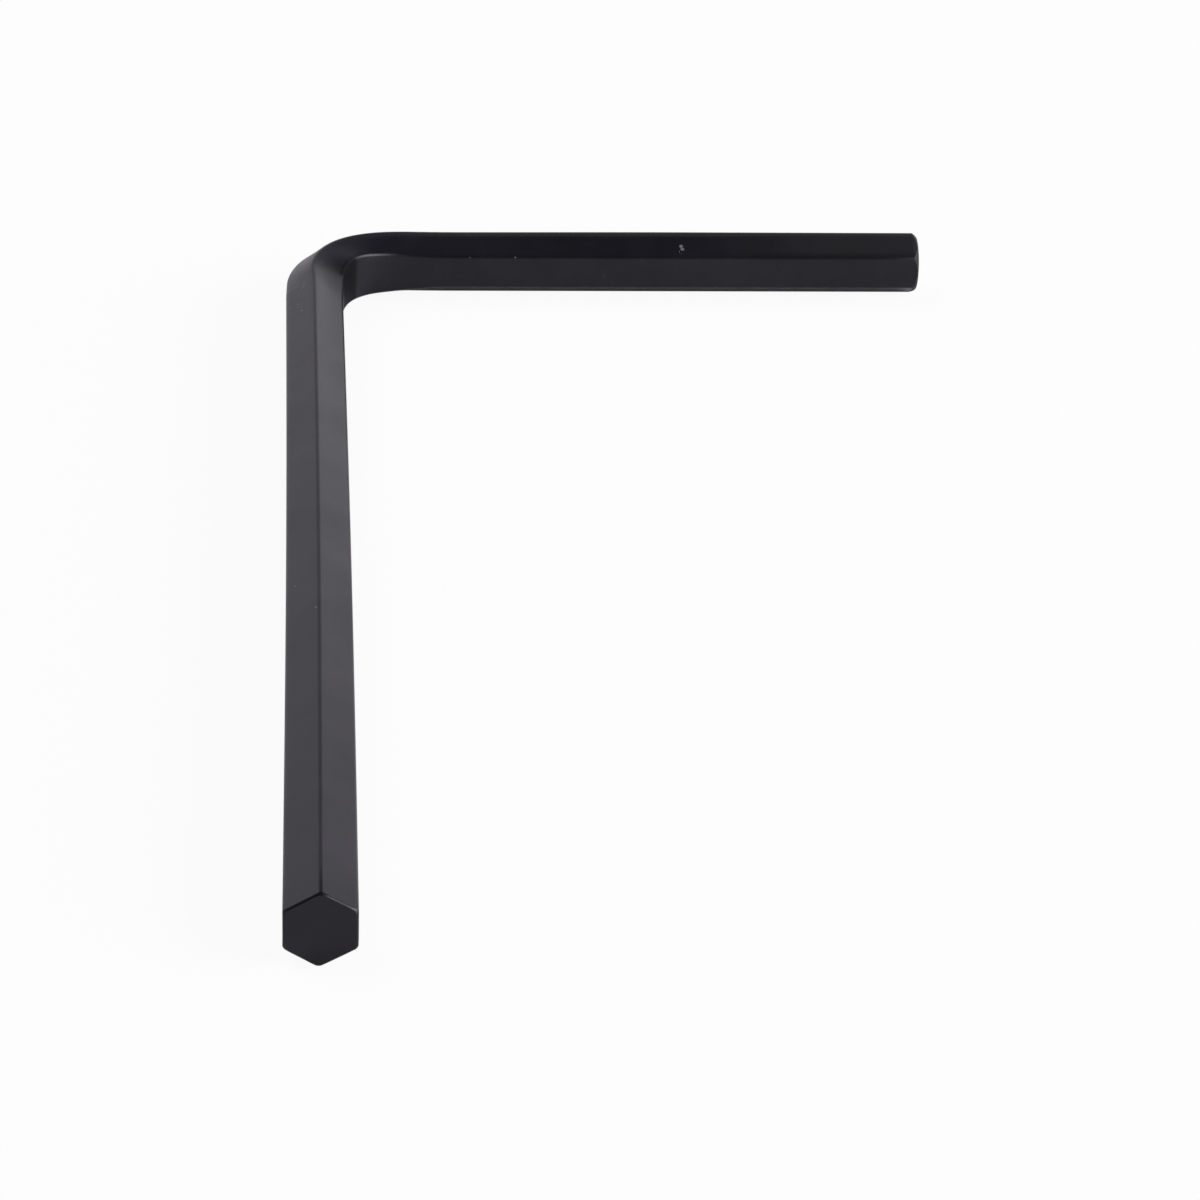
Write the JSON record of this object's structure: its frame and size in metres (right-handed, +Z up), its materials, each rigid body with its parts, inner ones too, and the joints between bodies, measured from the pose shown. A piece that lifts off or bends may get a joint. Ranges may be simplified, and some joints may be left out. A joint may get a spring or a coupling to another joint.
{
  "type": "hex key",
  "caption": "L-shaped hex key: a slim hexagon bar bent into a long and a short arm, with rounded edges, chamfered ends and a black oxide finish.",
  "frame": {"origin": "centre of the bottom of the key's box, on the surface that it lies on", "axes": "+X along the short arm, away from the bend; -Y along the long arm, away from the bend; +Z up, square to the plane of the bend"},
  "size_m": [0.046, 0.096, 0.0045],
  "materials": {
    "black_steel": "satin black oxide on hardened steel"
  },
  "bodies": {
    "root": {"hex_key": "black_steel"}
  },
  "joints": []
}
